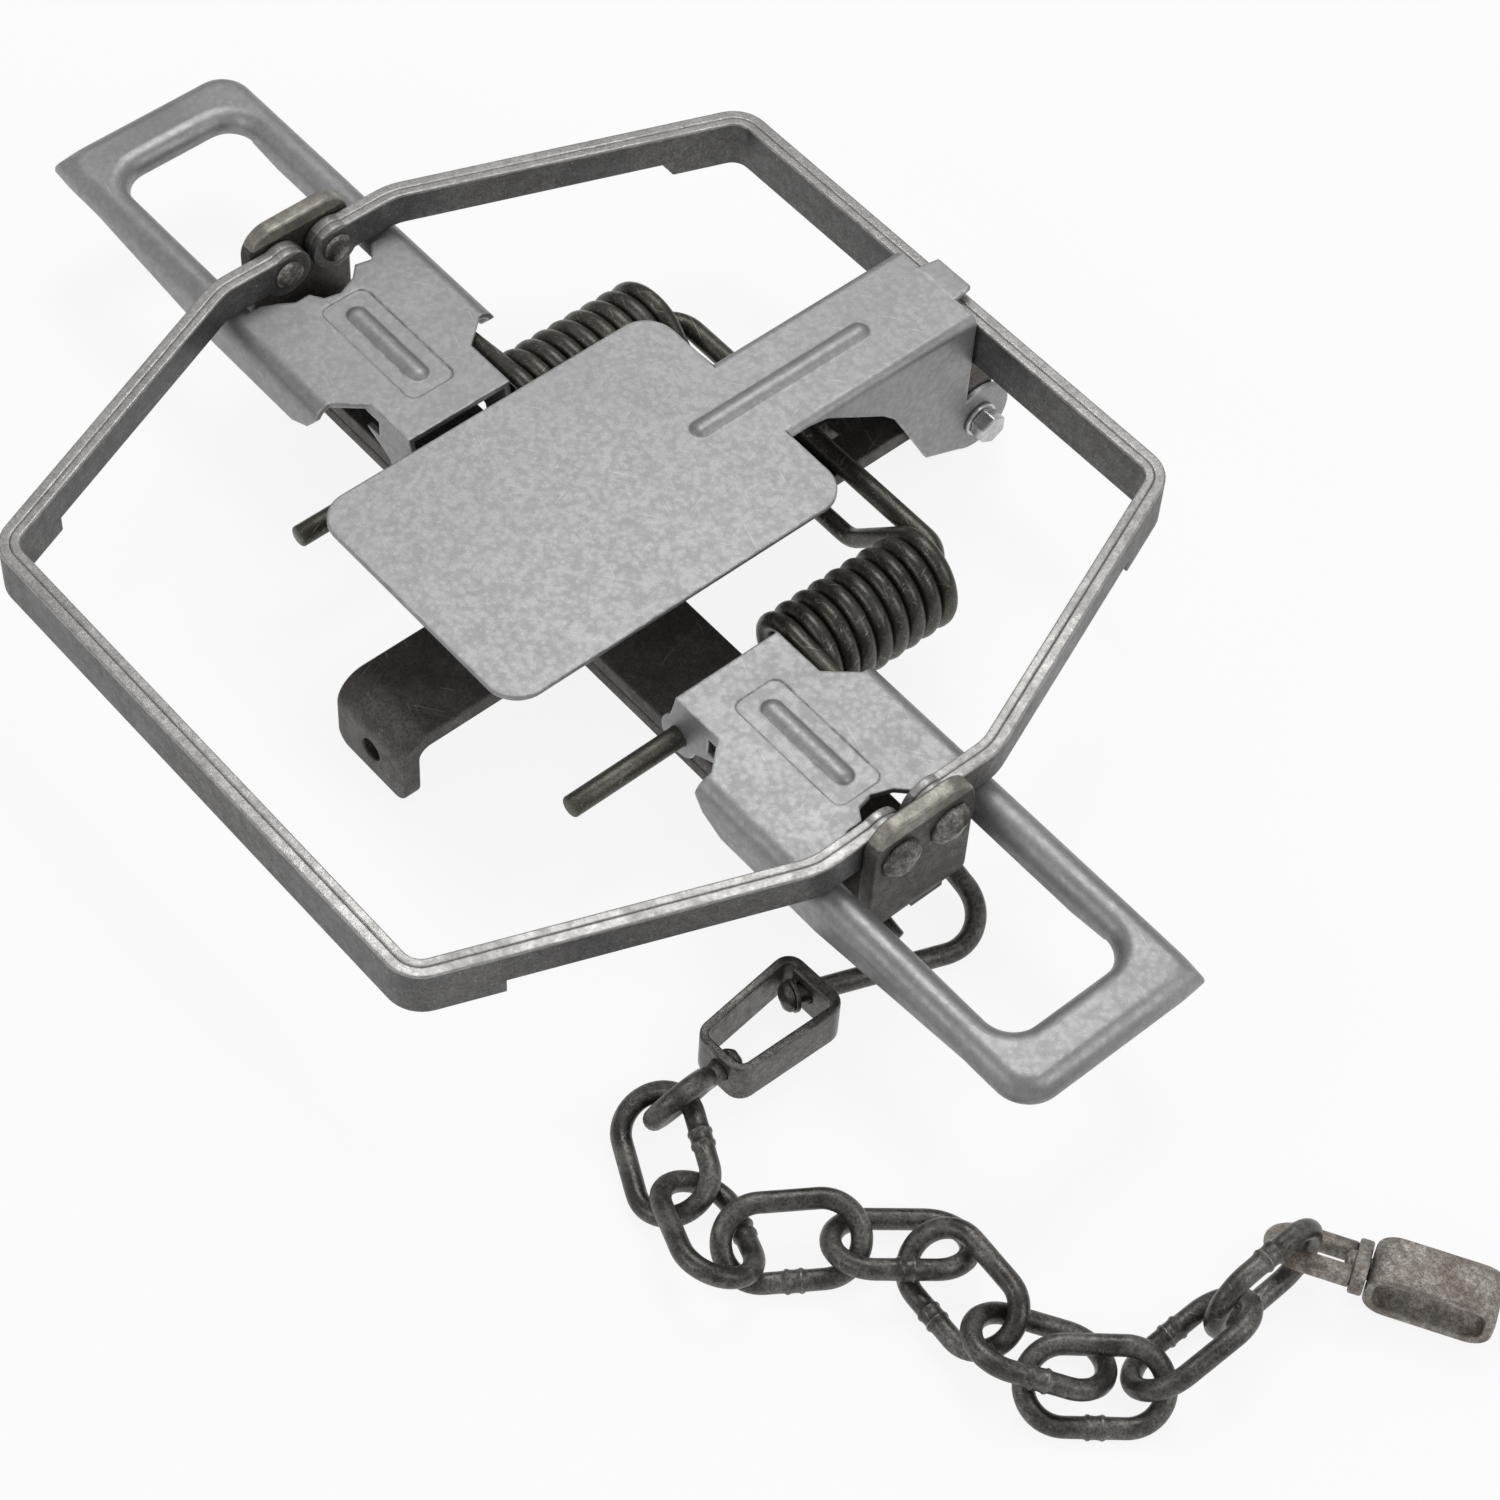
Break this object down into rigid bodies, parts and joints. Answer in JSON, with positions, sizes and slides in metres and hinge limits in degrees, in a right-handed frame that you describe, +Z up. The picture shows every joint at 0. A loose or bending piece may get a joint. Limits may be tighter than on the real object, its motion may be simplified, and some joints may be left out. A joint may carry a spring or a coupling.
{
  "type": "foothold trap",
  "caption": "Open foothold trap with flat-lying jaws, a tilting trigger pan, slotted spring levers on an axle rod, wound springs and a swivelled chain.",
  "frame": {"origin": "middle of the base strip's underside, below the crossing with the cross strip", "axes": "+X from hinge post A to hinge post B, +Y from the bent tab to the pan's pivot, +Z up"},
  "size_m": [0.427, 0.2248, 0.0501],
  "materials": {
    "dark_iron": "dark oiled strip steel with a worn bend",
    "jaw_steel": "ground bright top edges, charcoal faces",
    "lever_sheet": "satin grey stamped sheet with fine grain and scuffs",
    "spring_wire": "dark olive grey drawn wire with soft highlights",
    "chain_wire": "dark grey worn welded chain",
    "end_iron": "rusty speckled brown grey",
    "zinc_steel": "bright zinc plated"
  },
  "bodies": {
    "frame": {"frame_base": "dark_iron", "doubler_a": "dark_iron", "doubler_b": "dark_iron", "cross_strip": "dark_iron", "pan_bracket": "dark_iron", "ring_clip": "dark_iron", "pin_a_front": "chain_wire", "pin_a_rear": "chain_wire", "pin_b_front": "chain_wire", "pin_b_rear": "chain_wire", "axle_rod": "dark_iron", "spring_a": "spring_wire", "spring_b": "spring_wire", "pan_bolt": "zinc_steel", "pan_nut": "zinc_steel", "pan_washer_a": "zinc_steel", "pan_washer_b": "zinc_steel"},
    "front_jaw": {"front_jaw": "jaw_steel", "front_laminate": "jaw_steel"},
    "rear_jaw": {"rear_jaw": "jaw_steel", "rear_laminate": "jaw_steel"},
    "lever_a": {"lever_a": "lever_sheet"},
    "lever_b": {"lever_b": "lever_sheet"},
    "pan": {"pan": "lever_sheet"},
    "ring": {"ring_eye": "chain_wire", "swivel_washer": "chain_wire"},
    "swivel": {"swivel_box": "chain_wire"},
    "hook": {"hook_eye": "chain_wire"},
    "link_1": {"chain_link_1": "chain_wire"},
    "link_2": {"chain_link_2": "chain_wire"},
    "link_3": {"chain_link_3": "chain_wire"},
    "link_4": {"chain_link_4": "chain_wire"},
    "link_5": {"chain_link_5": "chain_wire"},
    "link_6": {"chain_link_6": "chain_wire"},
    "link_7": {"chain_link_7": "chain_wire"},
    "link_8": {"chain_link_8": "chain_wire"},
    "link_9": {"chain_link_9": "chain_wire"},
    "end_eye": {"end_eye": "end_iron", "end_plate": "end_iron", "end_rivet": "end_iron"},
    "end_swivel": {"end_swivel_box": "end_iron"}
  },
  "joints": [
    {"name": "front_jaw_hinge", "type": "hinge", "parent": "frame", "child": "front_jaw", "pos_m": [0, -0.0069, 0.0275], "axis": [-1, 0, 0], "range_deg": [0, 90]},
    {"name": "rear_jaw_hinge", "type": "hinge", "parent": "frame", "child": "rear_jaw", "pos_m": [0, 0.0069, 0.0275], "axis": [1, 0, 0], "range_deg": [0, 90]},
    {"name": "lever_a_hinge", "type": "hinge", "parent": "frame", "child": "lever_a", "pos_m": [-0.048, 0, 0.01115], "axis": [0, 1, 0], "range_deg": [0, 60]},
    {"name": "lever_b_hinge", "type": "hinge", "parent": "frame", "child": "lever_b", "pos_m": [0.048, 0, 0.01115], "axis": [0, -1, 0], "range_deg": [0, 60]},
    {"name": "pan_hinge", "type": "hinge", "parent": "frame", "child": "pan", "pos_m": [0, 0.1073, -0.001], "axis": [1, 0, 0], "range_deg": [0, 8]},
    {"name": "ring_hinge", "type": "hinge", "parent": "frame", "child": "ring", "pos_m": [0.097, 0.006, -0.00255], "axis": [0, 1, 0], "range_deg": [-12, 75]},
    {"name": "swivel_turn", "type": "hinge", "parent": "ring", "child": "swivel", "pos_m": [0.11798, 0.00255, -0.00856], "axis": [-0.313, -0.9455, 0.0897], "range_deg": [-45, 45]},
    {"name": "hook_turn", "type": "hinge", "parent": "swivel", "child": "hook", "pos_m": [0.112, -0.0675, -0.0033], "axis": [0.0946, -0.982, 0.1633], "range_deg": [-40, 40]},
    {"name": "link_1_hinge", "type": "hinge", "parent": "hook", "child": "link_1", "pos_m": [0.1081, -0.0704, -0.0073], "axis": [0, 0, 1], "range_deg": [-12, 8]},
    {"name": "link_2_hinge", "type": "hinge", "parent": "link_1", "child": "link_2", "pos_m": [0.1293, -0.0745, -0.0064], "axis": [0, 0, 1], "range_deg": [-15, 4]},
    {"name": "link_3_hinge", "type": "hinge", "parent": "link_2", "child": "link_3", "pos_m": [0.1502, -0.0812, -0.0071], "axis": [0, 0, 1], "range_deg": [-4, 10]},
    {"name": "link_4_hinge", "type": "hinge", "parent": "link_3", "child": "link_4", "pos_m": [0.1618, -0.0659, -0.0054], "axis": [0, 0, 1], "range_deg": [-6, 10]},
    {"name": "link_5_hinge", "type": "hinge", "parent": "link_4", "child": "link_5", "pos_m": [0.1722, -0.0572, -0.0053], "axis": [0, 0, 1], "range_deg": [-6, 10]},
    {"name": "link_6_hinge", "type": "hinge", "parent": "link_5", "child": "link_6", "pos_m": [0.1935, -0.0482, -0.0025], "axis": [0, 0, 1], "range_deg": [-8, 7]},
    {"name": "link_7_hinge", "type": "hinge", "parent": "link_6", "child": "link_7", "pos_m": [0.211, -0.0391, -0.005], "axis": [0, 0, 1], "range_deg": [-5, 3]},
    {"name": "link_8_hinge", "type": "hinge", "parent": "link_7", "child": "link_8", "pos_m": [0.2236, -0.0373, -0.005], "axis": [0, 0, 1], "range_deg": [-10, 4]},
    {"name": "link_9_hinge", "type": "hinge", "parent": "link_8", "child": "link_9", "pos_m": [0.2186, -0.0138, -0.0065], "axis": [0, 0, 1], "range_deg": [-10, 8]},
    {"name": "end_eye_hinge", "type": "hinge", "parent": "link_9", "child": "end_eye", "pos_m": [0.2188, 0.0109, -0.0061], "axis": [0, 0, 1], "range_deg": [-15, 12]},
    {"name": "end_swivel_turn", "type": "hinge", "parent": "end_eye", "child": "end_swivel", "pos_m": [0.23682, 0.0185, -0.004], "axis": [0.866, 0.5, 0], "continuous": true}
  ],
  "couplings": [
    {"joint": "rear_jaw_hinge", "follows": "front_jaw_hinge", "ratio": 1},
    {"joint": "lever_a_hinge", "follows": "front_jaw_hinge", "ratio": 0.14},
    {"joint": "lever_b_hinge", "follows": "front_jaw_hinge", "ratio": 0.14}
  ]
}
